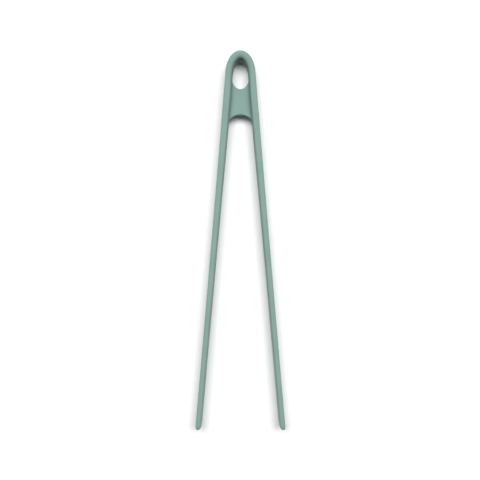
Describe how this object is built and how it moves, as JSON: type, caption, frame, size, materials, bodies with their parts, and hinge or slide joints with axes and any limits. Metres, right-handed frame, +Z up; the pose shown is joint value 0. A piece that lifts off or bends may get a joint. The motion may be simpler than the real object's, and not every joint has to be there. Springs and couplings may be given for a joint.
{
  "type": "kitchen tongs",
  "caption": "Slim spring tongs with a silicone skin: U bow with a hanging hole, a web between the legs, and two straight arms with rounded tips.",
  "frame": {"origin": "middle of the footprint of the tongs lying on one side, at the surface that they lie on", "axes": "+X across the arms, +Y along them towards the head, +Z up through the width of the band"},
  "size_m": [0.0686, 0.29, 0.022],
  "materials": {
    "silicone": "matte sage green silicone",
    "core_nylon": "dark glass filled nylon",
    "spring_steel": "rolled stainless spring strip",
    "rivet_steel": "plain stainless"
  },
  "bodies": {
    "head": {"head_sleeve": "silicone", "bridge_web": "silicone", "spring_bow": "spring_steel"},
    "left_arm": {"left_arm_sleeve": "silicone", "left_arm_core": "core_nylon", "left_upper_rivet": "rivet_steel", "left_lower_rivet": "rivet_steel"},
    "right_arm": {"right_arm_sleeve": "silicone", "right_arm_core": "core_nylon", "right_upper_rivet": "rivet_steel", "right_lower_rivet": "rivet_steel"}
  },
  "joints": [
    {"name": "left_arm_flex", "type": "hinge", "parent": "head", "child": "left_arm", "pos_m": [-0.01265, 0.081, 0.011], "axis": [0, 0, 1], "range_deg": [-3, 7.6], "stiffness_Nm_per_rad": 5, "deforming": ["spring_bow"]},
    {"name": "right_arm_flex", "type": "hinge", "parent": "head", "child": "right_arm", "pos_m": [0.01265, 0.081, 0.011], "axis": [0, 0, -1], "range_deg": [-3, 7.6], "stiffness_Nm_per_rad": 5, "deforming": ["spring_bow"]}
  ]
}
